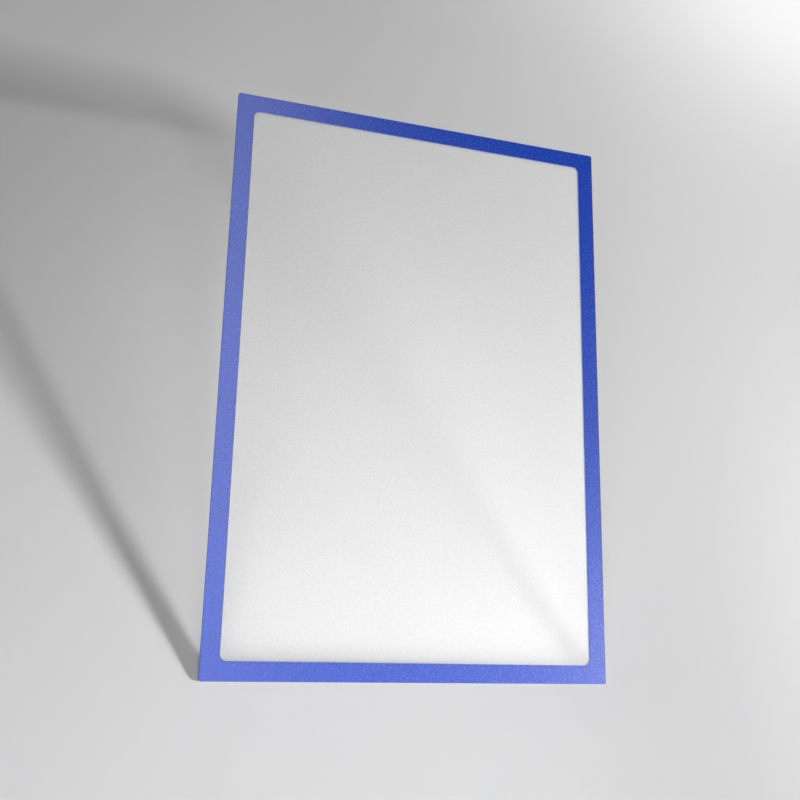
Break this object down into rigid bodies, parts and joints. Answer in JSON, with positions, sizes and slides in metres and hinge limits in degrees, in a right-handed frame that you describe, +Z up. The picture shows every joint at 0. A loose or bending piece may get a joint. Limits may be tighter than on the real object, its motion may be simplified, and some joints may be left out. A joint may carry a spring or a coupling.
{
  "type": "magnetic display pocket",
  "caption": "Thin upright display pocket with a blue grained border round a frosted window; its front leaf opens on a folded film hinge over a magnet-backed frame.",
  "frame": {"origin": "middle of the top magnet strip's back face, where the pocket meets the steel board that holds it", "axes": "+Z up along the long edges, +X towards the hinged long edge, +Y out of the back towards the board; the window faces -Y"},
  "size_m": [0.224, 0.0022, 0.313],
  "materials": {
    "blue_border_film": "fine sand grain, matte with a soft sheen",
    "blue_back_film": "satin film",
    "frosted_film": "frosted, see-through, fine grain",
    "hinge_film": "smooth satin film",
    "magnet_rubber": "dull, near black",
    "mounting_tape": "dull translucent tape",
    "spacer_film": "satin film"
  },
  "bodies": {
    "back_leaf": {"back_frame": "blue_back_film", "magnet_top": "magnet_rubber", "magnet_bottom": "magnet_rubber", "magnet_left": "magnet_rubber", "magnet_right": "magnet_rubber", "tape_top": "mounting_tape", "tape_bottom": "mounting_tape", "tape_left": "mounting_tape", "tape_right": "mounting_tape", "hinge_spacer": "spacer_film", "hinge_flap_back": "hinge_film"},
    "front_leaf": {"hinge_flap_front": "hinge_film", "front_film": "frosted_film", "front_border": "blue_border_film", "closing_strip": "magnet_rubber", "closing_tape": "mounting_tape"}
  },
  "joints": [
    {"name": "front_leaf_hinge", "type": "hinge", "parent": "back_leaf", "child": "front_leaf", "pos_m": [0.112, -0.00165, -0.1525], "axis": [0, 0, 1], "range_deg": [0, 180]}
  ]
}
